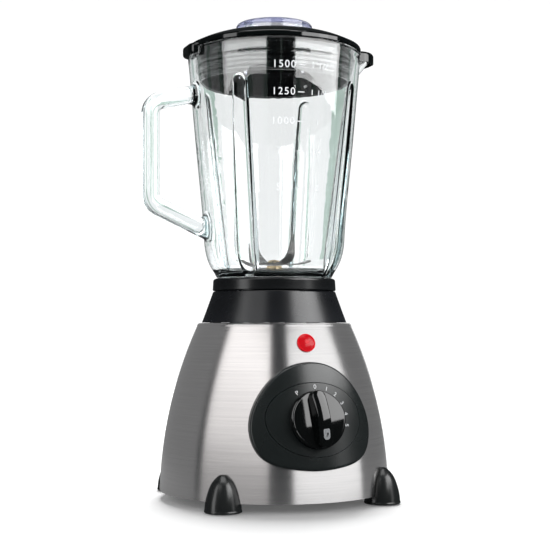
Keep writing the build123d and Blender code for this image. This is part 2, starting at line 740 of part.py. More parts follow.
def blade_bush():
    return ring_outline(
        (3.56, 167.0),
        (6.0, 167.0),
        (6.0, 180.25),
        (6.9, 180.25),
        (6.9, 181.9),
        (6.2, 182.5),
        (6.2, 185.2),
        (5.6, 185.8),
        (3.56, 185.8),
    )


def blade_washer():
    return tube(6.4, BLADE_BORE, 185.95, 186.55)


def blade_shaft():
    return rod(BLADE_SHAFT_R, 162.6, 190.6)


def one_blade(bends, rise_z, half_widths, tip_z=None):
    """One blade along +X: a strip bent through the given points, with a tapering plan and a raked tip."""
    t = BLADE_THICK
    points = [at(7, rise_z)] + [at(x, rise_z + h) for x, h in bends]
    along = [(points[1] - points[0]).normalized()]
    along += [(c - a).normalized() for a, c in zip(points, points[2:])]
    along.append((points[-1] - points[-2]).normalized())
    along[0] = Vector(1, 0, 0)
    lifted = [p + Vector(-d.Z, 0, d.X) * t for p, d in zip(points, along)]
    under = Spline(*points, tangents=(along[0], along[-1]))
    over = Spline(*lifted, tangents=(along[0], along[-1]))
    outline = [
        Line(at(0, rise_z), at(7, rise_z)),
        under,
        Line(under @ 1, over @ 1),
        over,
        Line(at(7, rise_z + t), at(0, rise_z + t)),
        Line(at(0, rise_z + t), at(0, rise_z)),
    ]
    strip = extrude(make_face(outline), amount=14, dir=(0, 1, 0), both=True)
    root, belly, tip_low, tip_high = half_widths
    reach = bends[-1][0]
    middle = bends[len(bends) // 2][0]
    if tip_z is None:
        plan = [(0, -root), (7, -root), (middle, -belly), (reach + 3, -tip_low)]
        plan += [(reach + 3, tip_high), (middle, belly), (7, root), (0, root)]
        return strip & Pos(0, 0, 170) * extrude(Polygon(*plan, align=None), amount=60)
    low = rise_z - 1
    front = [(-root, low), (root, low), (root, rise_z + 2.5), (tip_high, tip_z)]
    front += [(-tip_low, tip_z), (-belly, rise_z + 8), (-root, rise_z + 2.5)]
    return strip & Plane.YZ.offset(-2) * extrude(Polygon(*front, align=None), amount=40)


def upper_blades():
    """Two blades that curve up like horns, one taller than the other."""
    tall_bends = [(11.0, 0.9), (14.6, 3.6), (18.0, 9.2), (19.9, 16.6), (20.3, 26.0)]
    short_bends = [(11.2, 0.6), (15.4, 3.0), (18.9, 8.0), (20.7, 13.4), (21.2, 19.4)]
    tall = one_blade(tall_bends, UPPER_BLADE_Z, (6.2, 4.6, 1.8, -1.2), UPPER_BLADE_Z + 26.2)
    short = one_blade(short_bends, UPPER_BLADE_Z, (6.2, 5.6, 1.6, -1.0), UPPER_BLADE_Z + 19.6)
    pair = tall + Rot(0, 0, 180) * short
    for k in range(8):
        notch_z = UPPER_BLADE_Z + 12.0 + 1.6 * k
        pair -= Pos(20.0, blade_edge(notch_z), notch_z) * Rot(0, 90, 0) * Cylinder(0.55, 12)
    pair -= rod(BLADE_BORE, 180, 200)
    return Rot(0, 0, UPPER_BLADE_ANGLE) * pair


def blade_edge(z):
    """Y of the tall blade's serrated edge at a height."""
    share = (z - UPPER_BLADE_Z - 2.5) / 23.7
    return 6.2 + share * (-1.2 - 6.2)


def lower_blades():
    """Two long blades that stay near the jug's floor."""
    blade = one_blade([(18.0, 0.5), (25.0, 1.7), (31.5, 3.6)], LOWER_BLADE_Z, (6.3, 6.0, 4.2, 0.4))
    pair = blade + Rot(0, 0, 180) * blade
    pair -= rod(BLADE_BORE, 180, 200)
    return Rot(0, 0, LOWER_BLADE_ANGLE) * pair


def blade_nut():
    nut = Pos(0, 0, 189.4) * extrude(RegularPolygon(5.6, 6), amount=1.7)
    nut &= Pos(0, 0, 184.6) * Sphere(7.6)
    crown = Pos(0, 0, 185.4) * Sphere(6.2) & rod(3.4, 190.65, 192)
    return nut - rod(BLADE_BORE, 180, 190.62) + crown


def jar_drive_coupling():
    dog = rod(14.6, 161.4, 165.4)
    tooth = sector(7.6, 14.2, 18, 42, 154.2, 161.6)
    for k in range(6):
        dog += Rot(0, 0, 60 * k) * tooth
    return dog - rod(BLADE_BORE, 150, 170)


def lid():
    top = turned(
        Line(at(0, LID_EDGE_Z), at(LID_R, LID_EDGE_Z)),
        Line(at(LID_R, LID_EDGE_Z), at(LID_R, 360.8)),
        ThreePointArc(at(LID_R, 360.8), at(69.4, 361.9), at(68.2, 362.5)),
        ThreePointArc(at(68.2, 362.5), at(54.0, 368.6), at(37.0, LID_TOP_Z)),
        Line(at(37.0, LID_TOP_Z), at(0, LID_TOP_Z)),
        Line(at(0, LID_TOP_Z), at(0, LID_EDGE_Z)),
    )
    pour_tab = Pos(0, 0, -3.0) * extrude(RectangleRounded(34, 36, 15), amount=8.6)
    pour_tab = fillet(pour_tab.edges().group_by(Axis.Z)[-1], radius=3.2)
    pour_tab -= Pos(0, 0, -4.0) * extrude(RectangleRounded(31, 34.8, 14), amount=4.0)
    finger_tab = extrude(RectangleRounded(24, 30, 9), amount=8.6)
    finger_tab = fillet(finger_tab.edges().group_by(Axis.Z)[0], radius=2.4)
    finger_tab = fillet(finger_tab.edges().group_by(Axis.Z)[-1], radius=2.4)
    finger_tab = Pos(-62.8, 0, 351.4) * finger_tab - rod(LID_R + 0.3, 340, LID_EDGE_Z)
    top += Pos(68.8, 0, LID_EDGE_Z) * pour_tab - rod(LID_R + 0.3, 340, LID_EDGE_Z - 0.01)
    top += finger_tab
    hollow = turned(
        Line(at(0, LID_EDGE_Z - 1), at(56.5, LID_EDGE_Z - 1)),
        Line(at(56.5, LID_EDGE_Z - 1), at(56.5, 361.0)),
        ThreePointArc(at(56.5, 361.0), at(46.0, 366.6), at(34.0, 369.4)),
        Line(at(34.0, 369.4), at(0, 369.4)),
        Line(at(0, 369.4), at(0, LID_EDGE_Z - 1)),
    )
    top -= hollow
    plug_bore = PLUG_R - 1.8
    plug_points = [
        (plug_bore, LID_EDGE_Z + 0.5),
        (PLUG_R, LID_EDGE_Z + 0.5),
        (PLUG_R, PLUG_BOTTOM + 4.4),
        (PLUG_R + 1.2, PLUG_BOTTOM + 3.2),
        (PLUG_R + 1.2, PLUG_BOTTOM + 1.8),
        (PLUG_R - 0.2, PLUG_BOTTOM),
        (PLUG_R - 0.9, PLUG_BOTTOM),
        (plug_bore, PLUG_BOTTOM + 1.6),
    ]
    top += ring_outline(*plug_points)
    top += tube(LID_HOLE_R + 2.6, LID_HOLE_R, 361.5, LID_TOP_Z)
    return top - rod(LID_HOLE_R, 330, 390)


def lid_seal():
    """Soft sleeve with three sloping fins round the lid's plug."""
    sleeve = tube(61.6, PLUG_R + 0.02, 338.4, 357.9)
    for z in (340.2, 343.8, 348.2):
        fin = ring_outline((61.0, z), (63.3, z + 1.2), (63.3, z + 2.0), (61.0, z + 1.7))
        sleeve += fin
    return sleeve


def measuring_cap():
    crown = turned(
        Line(at(0, LID_TOP_Z + 0.3), at(CAP_R - 1.0, LID_TOP_Z + 0.3)),
        ThreePointArc(at(CAP_R - 1.0, LID_TOP_Z + 0.3), at(CAP_R - 0.2, 372.8), at(CAP_R, 373.6)),
        Line(at(CAP_R, 373.6), at(CAP_R - 0.5, 379.4)),
        ThreePointArc(at(CAP_R - 0.5, 379.4), at(CAP_R - 1.1, 381.0), at(CAP_R - 2.6, 381.7)),
        Line(at(CAP_R - 2.6, 381.7), at(CAP_R - 5.2, CAP_TOP_Z)),
        Line(at(CAP_R - 5.2, CAP_TOP_Z), at(CAP_R - 6.4, 380.6)),
        Line(at(CAP_R - 6.4, 380.6), at(0, 380.6)),
        Line(at(0, 380.6), at(0, LID_TOP_Z + 0.3)),
    )
    hollow = rod(CAP_R - 4.0, 370, 375.4) + rod(CAP_PLUG_R - 2.2, 340, 378.2)
    plug = tube(CAP_PLUG_R, CAP_PLUG_R - 2.2, CAP_BOTTOM, 378.4)
    return crown - hollow + plug


NODES = {
    "steel_shell": steel_shell,
    "neck_housing": neck_housing,
    "control_bezel": control_bezel,
    "dial_plate": dial_plate,
    "speed_knob": speed_knob,
    "knob_inlay": knob_inlay,
    "switch_shaft": switch_shaft,
    "switch_body": switch_body,
    "switch_nut": switch_nut,
    "switch_terminals": switch_terminals,
    "badge": badge,
    "foot_pads": foot_pads,
    "foot_screws": foot_screws,
    "base_plate": base_plate,
    "base_screws": base_screws,
    "cord_gland": cord_gland,
    "motor_shaft": motor_shaft,
    "cooling_fan": cooling_fan,
    "armature_core": armature_core,
    "armature_windings": armature_windings,
    "commutator": commutator,
    "motor_drive_coupling": motor_drive_coupling,
    "stator_core": stator_core,
    "field_coils": field_coils,
    "upper_end_frame": upper_end_frame,
    "lower_end_frame": lower_end_frame,
    "upper_bearing": upper_bearing,
    "lower_bearing": lower_bearing,
    "brush_holders": brush_holders,
    "carbon_brushes": carbon_brushes,
    "brush_springs": brush_springs,
    "motor_bolts": motor_bolts,
    "rubber_mounts": rubber_mounts,
    "motor_mount_screws": motor_mount_screws,
    "jar_glass": jar_glass,
    "jar_collar": jar_collar,
    "blade_base": blade_base,
    "blade_gasket": blade_gasket,
    "blade_bush": blade_bush,
    "blade_washer": blade_washer,
    "blade_shaft": blade_shaft,
    "upper_blades": upper_blades,
    "lower_blades": lower_blades,
    "blade_nut": blade_nut,
    "jar_drive_coupling": jar_drive_coupling,
    "lid": lid,
    "lid_seal": lid_seal,
    "measuring_cap": measuring_cap,
}

FEET = {
    "front_left_foot": 225,
    "front_right_foot": 315,
    "rear_left_foot": 135,
    "rear_right_foot": 45,
}


def save(name, shape):
    solids = []
    for piece in shape if isinstance(shape, list) else [shape]:
        solids.extend(piece.solids())
    whole = solids[0] if len(solids) == 1 else Compound(children=solids)
    whole.label = name
    export_step(whole, "parts/" + name + ".step")


os.makedirs("parts", exist_ok=True)
for node_name, maker in NODES.items():
    save(node_name, maker())
for node_name, angle in FEET.items():
    save(node_name, Rot(0, 0, angle) * foot())
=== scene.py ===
import json
import math

import bpy
from mathutils import Matrix, Vector

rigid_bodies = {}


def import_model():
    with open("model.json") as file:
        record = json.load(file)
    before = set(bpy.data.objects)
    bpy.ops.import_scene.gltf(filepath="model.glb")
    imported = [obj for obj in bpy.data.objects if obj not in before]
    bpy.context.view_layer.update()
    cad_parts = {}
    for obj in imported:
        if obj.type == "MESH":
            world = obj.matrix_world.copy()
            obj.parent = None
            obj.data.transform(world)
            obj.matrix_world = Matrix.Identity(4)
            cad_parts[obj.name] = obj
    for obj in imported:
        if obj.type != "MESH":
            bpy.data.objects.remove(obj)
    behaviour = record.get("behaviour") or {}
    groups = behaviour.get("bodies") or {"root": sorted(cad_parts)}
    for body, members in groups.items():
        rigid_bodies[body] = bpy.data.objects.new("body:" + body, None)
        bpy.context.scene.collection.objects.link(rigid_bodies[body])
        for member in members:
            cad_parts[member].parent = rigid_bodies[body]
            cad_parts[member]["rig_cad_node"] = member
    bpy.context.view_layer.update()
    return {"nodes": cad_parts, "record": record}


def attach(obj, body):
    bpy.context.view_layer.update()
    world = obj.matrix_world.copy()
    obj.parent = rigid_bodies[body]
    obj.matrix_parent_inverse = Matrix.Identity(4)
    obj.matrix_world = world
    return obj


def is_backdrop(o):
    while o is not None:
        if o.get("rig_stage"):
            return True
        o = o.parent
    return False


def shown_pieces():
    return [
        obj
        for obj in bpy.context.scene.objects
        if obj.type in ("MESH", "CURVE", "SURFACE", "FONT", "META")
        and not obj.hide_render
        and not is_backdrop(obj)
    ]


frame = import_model()
NODES = frame["nodes"]
RECORD = frame["record"]

MM = 0.001

# ---------------------------------------------------------------- shell profile, as in the CAD part
ARC_CENTRE_R = -250.9 * MM
ARC_CENTRE_Z = -2.2 * MM
ARC_RADIUS = 343.4 * MM
PRINT_Z = 68.8 * MM
DIAL_PROUD = 4.8 * MM
PRINT_LIFT = 0.02 * MM


def shell_tilt(z):
    """Angle by which the steel skin's outward normal leans up at a height."""
    return math.asin((z - ARC_CENTRE_Z) / ARC_RADIUS)


# ---------------------------------------------------------------- material kit
GRAIN_DEPTH = 0.2 * MM
WIRE_DEPTH = 0.3 * MM
GLASS_WAVE_DEPTH = 1.0 * MM
# The brushing's noise cells: per radian round the body, then (third value) per metre of height.
BRUSH_FINE_CELLS = (0.9, 1.0, 2400.0)
BRUSH_BROAD_CELLS = (0.7, 1.0, 1500.0)
BRUSH_BUMP = 0.014
BRUSH_ANISOTROPY = 0.75
BRUSH_QUARTER_TURN = 0.25
BRUSH_WEAR_RANGE = (0.7, 1.3)
STEEL_ROUGHNESS = (0.21, 0.27)
STEEL_DARK = (0.565, 0.556, 0.558)
STEEL_LIGHT = (0.68, 0.67, 0.665)
# Gloss and colour changes are shares of the value they change, noise sizes are cells per metre.
GLOSS_PATCH_CELLS = 22.0
PLASTIC_GLOSS_SHARES = (0.88, 1.14)
EDGE_POINTINESS = (0.51, 0.6)
METAL_GLOSS_SHARES = (0.8, 1.3)
METAL_DARK_SHARE = 0.86
GLASS_WAVE_CELLS = 34.0
GLASS_WAVE_STRETCH = (1, 1, 0.35)
COPPER_DARK = (0.28, 0.09, 0.03)
COPPER_LIGHT = (0.62, 0.27, 0.11)
WIRE_SCALE = 650.0
WIRE_DISTORTION = 1.5
WIRE_BUMP = 0.4
SHEET_DARK = (0.12, 0.12, 0.125)
SHEET_LIGHT = (0.38, 0.38, 0.39)
SHEET_STRETCH = (0.02, 0.02, 1)
SHEET_SCALE = 330.0
SHEET_BUMP = 0.3


class Nodes:
    """Small helper that adds and links shader nodes of one material."""

    def __init__(self, name):
        self.material = bpy.data.materials.new(name)
        self.material.use_nodes = True
        self.tree = self.material.node_tree
        self.shader = self.tree.nodes["Principled BSDF"]
        self.output = self.tree.nodes["Material Output"]

    def add(self, kind, **values):
        node = self.tree.nodes.new(kind)
        for key, value in values.items():
            if hasattr(node, key):
                setattr(node, key, value)
            else:
                node.inputs[key].default_value = value
        return node

    def link(self, source, target):
        self.tree.links.new(source, target)

    def set(self, **values):
        for key, value in values.items():
            self.shader.inputs[key.replace("_", " ")].default_value = value

    def coordinates(self, scale=(1, 1, 1)):
        where = self.add("ShaderNodeTexCoord")
        mapping = self.add("ShaderNodeMapping")
        mapping.inputs["Scale"].default_value = scale
        self.link(where.outputs["Object"], mapping.inputs["Vector"])
        return mapping.outputs["Vector"]

    def noise(self, vector, scale, detail=3.0, roughness=0.55):
        node = self.add("ShaderNodeTexNoise", Scale=scale, Detail=detail, Roughness=roughness)
        self.link(vector, node.inputs["Vector"])
        return node.outputs["Fac"]

    def spread(self, value, low, high, from_low=0.3, from_high=0.7):
        node = self.add("ShaderNodeMapRange")
        node.inputs["From Min"].default_value = from_low
        node.inputs["From Max"].default_value = from_high
        node.inputs["To Min"].default_value = low
        node.inputs["To Max"].default_value = high
        self.link(value, node.inputs["Value"])
        return node.outputs["Result"]

    def tint(self, value, dark, light):
        node = self.add("ShaderNodeMix", data_type="RGBA")
        colour_in = [i for i in node.inputs if i.type == "RGBA"]
        colour_in[0].default_value = (*dark, 1)
        colour_in[1].default_value = (*light, 1)
        self.link(value, node.inputs[0])
        return [o for o in node.outputs if o.type == "RGBA"][0]

    def bump(self, height, strength, distance):
        node = self.add("ShaderNodeBump", Strength=strength, Distance=distance)
        self.link(height, node.inputs["Height"])
        self.link(node.outputs["Normal"], self.shader.inputs["Normal"])


def plastic(name, colour, roughness, grain=0.06, grain_scale=2600.0, edge_gain=1.8, specular=0.5):
    """Moulded plastic with a fine grain, slow gloss changes and slightly paler edges."""
    m = Nodes(name)
    where = m.coordinates()
    slow = m.noise(where, GLOSS_PATCH_CELLS, 4.0)
    gloss = m.spread(slow, *(roughness * share for share in PLASTIC_GLOSS_SHARES))
    m.link(gloss, m.shader.inputs["Roughness"])
    edge = m.add("ShaderNodeNewGeometry")
    wear = m.spread(edge.outputs["Pointiness"], 0.0, 1.0, *EDGE_POINTINESS)
    edge_colour = tuple(min(1, c * edge_gain) for c in colour)
    m.link(m.tint(wear, colour, edge_colour), m.shader.inputs["Base Color"])
    fine = m.noise(where, grain_scale, 2.0)
    m.bump(fine, grain, GRAIN_DEPTH)
    m.set(Specular_IOR_Level=specular)
    return m.material


def metal(name, colour, roughness, streak=(1, 1, 1), streak_scale=900.0, depth=0.05):
    """Turned, ground or cast metal with fine streaks and uneven gloss."""
    m = Nodes(name)
    m.set(Metallic=1.0)
    where = m.coordinates(streak)
    fine = m.noise(where, streak_scale, 3.0)
    gloss = m.spread(fine, *(roughness * share for share in METAL_GLOSS_SHARES))
    m.link(gloss, m.shader.inputs["Roughness"])
    dark = tuple(c * METAL_DARK_SHARE for c in colour)
    m.link(m.tint(fine, dark, colour), m.shader.inputs["Base Color"])
    m.bump(fine, depth, GRAIN_DEPTH)
    return m.material


def brushed_shell():
    """Stainless skin brushed round the axis: streaks are long round the body and thin in height."""
    m = Nodes("brushed_shell")
    m.set(Metallic=1.0, Anisotropic=BRUSH_ANISOTROPY, Anisotropic_Rotation=BRUSH_QUARTER_TURN)
    where = m.add("ShaderNodeTexCoord")
    split = m.add("ShaderNodeSeparateXYZ")
    m.link(where.outputs["Object"], split.inputs["Vector"])
    angle = m.add("ShaderNodeMath", operation="ARCTAN2")
    m.link(split.outputs["Y"], angle.inputs[0])
    m.link(split.outputs["X"], angle.inputs[1])
    wrapped = m.add("ShaderNodeCombineXYZ")
    m.link(angle.outputs["Value"], wrapped.inputs["X"])
    m.link(split.outputs["Z"], wrapped.inputs["Z"])
    fine_map = m.add("ShaderNodeMapping")
    fine_map.inputs["Scale"].default_value = BRUSH_FINE_CELLS
    m.link(wrapped.outputs["Vector"], fine_map.inputs["Vector"])
    fine = m.noise(fine_map.outputs["Vector"], 1.0, 6.0, 0.7)
    broad_map = m.add("ShaderNodeMapping")
    broad_map.inputs["Scale"].default_value = BRUSH_BROAD_CELLS
    m.link(wrapped.outputs["Vector"], broad_map.inputs["Vector"])
    broad = m.noise(broad_map.outputs["Vector"], 1.0, 4.0, 0.6)
    m.link(m.spread(fine, *STEEL_ROUGHNESS), m.shader.inputs["Roughness"])
    both = m.add("ShaderNodeMath", operation="ADD")
    m.link(fine, both.inputs[0])
    m.link(broad, both.inputs[1])
    wear = m.spread(both.outputs["Value"], 0.0, 1.0, *BRUSH_WEAR_RANGE)
    m.link(m.tint(wear, STEEL_DARK, STEEL_LIGHT), m.shader.inputs["Base Color"])
    m.bump(fine, BRUSH_BUMP, GRAIN_DEPTH)
    tangent = m.add("ShaderNodeTangent", direction_type="RADIAL", axis="Z")
    m.link(tangent.outputs["Tangent"], m.shader.inputs["Tangent"])
    return m.material


def clear_glass(name, body, density, roughness, ior, waviness):
    """Thick moulded glass: light is lost inside it, and its surface is very slightly wavy."""
    m = Nodes(name)
    m.set(Base_Color=(1, 1, 1, 1), Transmission_Weight=1.0, IOR=ior, Roughness=roughness)
    depth = m.add("ShaderNodeVolumeAbsorption", Color=(*body, 1), Density=density)
    m.link(depth.outputs["Volume"], m.output.inputs["Volume"])
    where = m.coordinates(GLASS_WAVE_STRETCH)
    slow = m.noise(where, GLASS_WAVE_CELLS, 2.0)
    m.bump(slow, waviness, GLASS_WAVE_DEPTH)
    return m.material


def copper_wire():
    """Enamelled copper windings, seen as close turns of wire."""
    m = Nodes("enamelled_copper")
    m.set(Metallic=0.7, Roughness=0.35, Coat_Weight=0.6)
    where = m.coordinates()
    wave = m.add("ShaderNodeTexWave", Scale=WIRE_SCALE, Distortion=WIRE_DISTORTION)
    m.link(where, wave.inputs["Vector"])
    copper = m.tint(wave.outputs["Fac"], COPPER_DARK, COPPER_LIGHT)
    m.link(copper, m.shader.inputs["Base Color"])
    m.bump(wave.outputs["Fac"], WIRE_BUMP, WIRE_DEPTH)
    return m.material


def laminated_steel():
    """Stack of thin punched steel sheets."""
    m = Nodes("lamination_steel")
    m.set(Metallic=0.9, Roughness=0.5)
    where = m.coordinates(SHEET_STRETCH)
    layers = m.add("ShaderNodeTexWave", Scale=SHEET_SCALE, bands_direction="Z")
    m.link(where, layers.inputs["Vector"])
    sheets = m.tint(layers.outputs["Fac"], SHEET_DARK, SHEET_LIGHT)
    m.link(sheets, m.shader.inputs["Base Color"])
    m.bump(layers.outputs["Fac"], SHEET_BUMP, WIRE_DEPTH)
    return m.material


PLASTICS = {
    "neck_plastic": dict(colour=(0.0035, 0.004, 0.005), roughness=0.26, grain=0.05),
    "bezel_plastic": dict(colour=(0.006, 0.008, 0.008), roughness=0.27, grain=0.10),
    "dial_plastic": dict(colour=(0.005, 0.007, 0.007), roughness=0.30, grain=0.10),
    "knob_plastic": dict(colour=(0.0012, 0.0015, 0.0015), roughness=0.06, grain=0.01),
    # Grey inlay at the lower end of the knob's grip bar: its pale colour is partly the inlay's own and
    # partly a painted reflection of the bright glint on the bar's end.
    "inlay_plastic": dict(colour=(0.12, 0.125, 0.13), roughness=0.22, grain=0.02),
    "switch_shaft_plastic": dict(colour=(0.72, 0.70, 0.62), roughness=0.45),
    "switch_case": dict(colour=(0.03, 0.03, 0.03), roughness=0.5),
    "badge_red": dict(
        colour=(0.36, 0.004, 0.008), roughness=0.16, grain=0.02, edge_gain=1.5, specular=0.15,
    ),
    "foot_plastic": dict(colour=(0.008, 0.009, 0.009), roughness=0.25, grain=0.06),
    "pad_rubber": dict(colour=(0.02, 0.02, 0.02), roughness=0.75, grain=0.3),
    "base_plastic": dict(colour=(0.014, 0.014, 0.015), roughness=0.45, grain=0.25, grain_scale=1500.0),
    "gland_rubber": dict(colour=(0.014, 0.014, 0.014), roughness=0.6, grain=0.2),
    "fan_plastic": dict(colour=(0.06, 0.06, 0.065), roughness=0.5),
    "drive_rubber": dict(colour=(0.02, 0.02, 0.02), roughness=0.55, grain=0.2),
    "holder_plastic": dict(colour=(0.20, 0.10, 0.05), roughness=0.5),
    "carbon": dict(colour=(0.02, 0.02, 0.02), roughness=0.65, grain=0.3),
    "mount_rubber": dict(colour=(0.02, 0.02, 0.02), roughness=0.7, grain=0.3),
    "collar_plastic": dict(colour=(0.003, 0.0035, 0.004), roughness=0.25, grain=0.04),
    "floor_plastic": dict(colour=(0.016, 0.016, 0.018), roughness=0.32),
    "gasket_rubber": dict(colour=(0.62, 0.62, 0.58), roughness=0.5),
    "lid_plastic": dict(colour=(0.0008, 0.0014, 0.0014), roughness=0.07, grain=0.01),
    "seal_rubber": dict(colour=(0.0010, 0.0016, 0.0016), roughness=0.12, grain=0.02),
}
METALS = {
    "switch_nut_steel": dict(colour=(0.62, 0.62, 0.60), roughness=0.28),
    "terminal_brass": dict(colour=(0.78, 0.60, 0.28), roughness=0.3),
    "screw_steel": dict(colour=(0.60, 0.60, 0.58), roughness=0.30),
    "shaft_steel": dict(colour=(0.62, 0.62, 0.63), roughness=0.18, streak=(1, 1, 60)),
    "commutator_copper": dict(colour=(0.75, 0.40, 0.22), roughness=0.25, streak=(1, 1, 80)),
    "frame_aluminium": dict(colour=(0.62, 0.62, 0.62), roughness=0.42, depth=0.2),
    "bronze": dict(colour=(0.55, 0.38, 0.20), roughness=0.40),
    "spring_steel": dict(colour=(0.55, 0.55, 0.56), roughness=0.22),
    "brass_bush": dict(colour=(0.74, 0.60, 0.40), roughness=0.20, streak=(1, 1, 40)),
    "washer_steel": dict(colour=(0.60, 0.60, 0.60), roughness=0.22),
    "blade_steel": dict(colour=(0.20, 0.195, 0.19), roughness=0.22, streak=(1, 8, 8)),
}
GLASSES = {
    "jug_glass": dict(body=(0.40, 0.54, 0.56), density=22.0, roughness=0.0, ior=1.50, waviness=0.05),
    "clear_cap": dict(body=(0.40, 0.42, 0.60), density=42.0, roughness=0.0, ior=1.46, waviness=0.02),
}
MATERIALS = {name: plastic(name, **look) for name, look in PLASTICS.items()}
MATERIALS.update((name, metal(name, **look)) for name, look in METALS.items())
MATERIALS.update((name, clear_glass(name, **look)) for name, look in GLASSES.items())
MATERIALS["brushed_shell"] = brushed_shell()
MATERIALS["lamination_steel"] = laminated_steel()
MATERIALS["enamelled_copper"] = copper_wire()

SLOT_OF = {row["node"]: row["material_slot"] for row in RECORD["subparts"]}
for node_name, node in NODES.items():
    node.data.materials.clear()
    node.data.materials.append(MATERIALS[SLOT_OF[node_name]])

# ---------------------------------------------------------------- printed dial
PRINT = plastic("print_white", (0.68, 0.69, 0.71), 0.5, grain=0.05, edge_gain=1.15)

LETTER_RADIUS = 24.9 * MM
LETTER_HEIGHT = 3.4 * MM
LETTER_THICK = 0.03 * MM
LETTER_OFFSET = -0.05 * MM
FONT_SIZE_PER_HEIGHT = 1.38
PRINT_X = 0.6 * MM
POSITIONS = {"P": -35, "0": 0, "1": 22, "2": 41, "3": 61, "4": 81, "5": 101}


def printed_mark(name, text, matrix):
    """Thin printed letter or number on the dial plate."""
    curve = bpy.data.curves.new(name, "FONT")
    curve.body = text
    curve.size = LETTER_HEIGHT * FONT_SIZE_PER_HEIGHT
    curve.align_x = "CENTER"
    curve.align_y = "CENTER"
    curve.extrude = LETTER_THICK
    curve.offset = LETTER_OFFSET
    letter = bpy.data.objects.new(name, curve)
    bpy.context.scene.collection.objects.link(letter)
    letter.matrix_world = matrix
    letter.data.materials.append(PRINT)
    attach(letter, "base")


def dial_frame(x, up):
    """Frame on the dial plate at a place in the dial's own plane: X to the right, Y up, Z outwards."""
    tilt = shell_tilt(PRINT_Z)
    z = PRINT_Z + up * math.cos(tilt)
    radius = ARC_CENTRE_R + math.sqrt((ARC_RADIUS + DIAL_PROUD) ** 2 - (z - ARC_CENTRE_Z) ** 2)
    side = math.asin(x / radius)
    tilt = shell_tilt(z)
    out = Vector((math.sin(side) * math.cos(tilt), -math.cos(side) * math.cos(tilt), math.sin(tilt)))
    right = Vector((math.cos(side), math.sin(side), 0))
    spot = Vector((x, -radius * math.cos(side), z)) + out * PRINT_LIFT
    return Matrix.Translation(spot) @ Matrix((right, out.cross(right), out)).transposed().to_4x4()


for mark, degrees in POSITIONS.items():
    turn = math.radians(degrees)
    place = dial_frame(LETTER_RADIUS * math.sin(turn) + PRINT_X, LETTER_RADIUS * math.cos(turn))
    printed_mark("dial_mark_" + mark, mark, place @ Matrix.Rotation(-turn, 4, "Z"))

# ---------------------------------------------------------------- moulded graduations on the glass
FROST_CELLS = 1800.0
FROST_DARK = (0.62, 0.64, 0.66)
FROST_LIGHT = (0.80, 0.81, 0.83)
FROST_BUMP = 0.2

frosted = Nodes("frosted_mark")
frosted.set(Roughness=0.55, IOR=1.5)
frost_grain = frosted.noise(frosted.coordinates(), FROST_CELLS, 2.0)
frost_colour = frosted.tint(frost_grain, FROST_DARK, FROST_LIGHT)
frosted.link(frost_colour, frosted.shader.inputs["Base Color"])
frosted.bump(frost_grain, FROST_BUMP, GRAIN_DEPTH)
FROSTED = frosted.material

MARK_PROUD = 0.22 * MM
MARK_HEIGHT = 5.6 * MM
FRACTION_HEIGHT = 4.2 * MM
NUMBER_END_DEG = -6.8
TICK_DEG = (-5.0, -0.6)
TICK_THICK = 0.8 * MM
TICK_STEPS = 6
LETTER_SPACING = 1.22
PROBE_RADIUS = 200 * MM
USUAL_GLASS_RADIUS = 60 * MM
FRACTION_DEG = 10.0
GRADUATIONS = {
    "1500": (336.3 * MM, "1 1/2"),
    "1250": (316.0 * MM, "1 1/4"),
    "1000": (294.0 * MM, "1"),
    "750": (271.7 * MM, "3/4"),
    "500": (244.3 * MM, "1/2"),
}
GLASS = NODES["jar_glass"]
GLASS_INVERSE = GLASS.matrix_world.inverted()


def glass_radius(azimuth, z):
    """Radius of the jug's outer wall at an azimuth from the front and a height, found on the CAD mesh."""
    out = Vector((math.sin(azimuth), -math.cos(azimuth), 0))
    start = GLASS_INVERSE @ (out * PROBE_RADIUS + Vector((0, 0, z)))
    hit, spot, _, _ = GLASS.ray_cast(start, GLASS_INVERSE.to_3x3() @ -out)
    place = GLASS.matrix_world @ spot
    return math.hypot(place.x, place.y) if hit else USUAL_GLASS_RADIUS


def on_glass(x, y, lift, azimuth, z):
    """Point on the jug's wall: x runs round it to the right, y up it and lift out of it."""
    turn = azimuth + x / glass_radius(azimuth, z)
    radius = glass_radius(turn, z + y) + lift
    return Vector((radius * math.sin(turn), -radius * math.cos(turn), z + y))


def glass_mark(name, mesh, azimuth, z):
    """Wrap a flat mesh round the jug's wall and let it ride with the jug."""
    for vertex in mesh.vertices:
        vertex.co = on_glass(*vertex.co, azimuth, z)
    mesh.materials.clear()
    mesh.materials.append(FROSTED)
    mark = bpy.data.objects.new(name, mesh)
    bpy.context.scene.collection.objects.link(mark)
    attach(mark, "jar")


def glass_text(name, text, height, align, azimuth, z):
    """Number or fraction moulded on the jug's wall."""
    curve = bpy.data.curves.new(name + "_outline", "FONT")
    curve.body = text
    curve.size = height * FONT_SIZE_PER_HEIGHT
    curve.align_x = align
    curve.space_character = LETTER_SPACING
    curve.align_y = "CENTER"
    curve.extrude = MARK_PROUD
    outline = bpy.data.objects.new(name + "_outline", curve)
    bpy.context.scene.collection.objects.link(outline)
    mesh = bpy.data.meshes.new_from_object(outline.evaluated_get(bpy.context.evaluated_depsgraph_get()))
    bpy.data.objects.remove(outline)
    bpy.data.curves.remove(curve)
    glass_mark(name, mesh, azimuth, z)


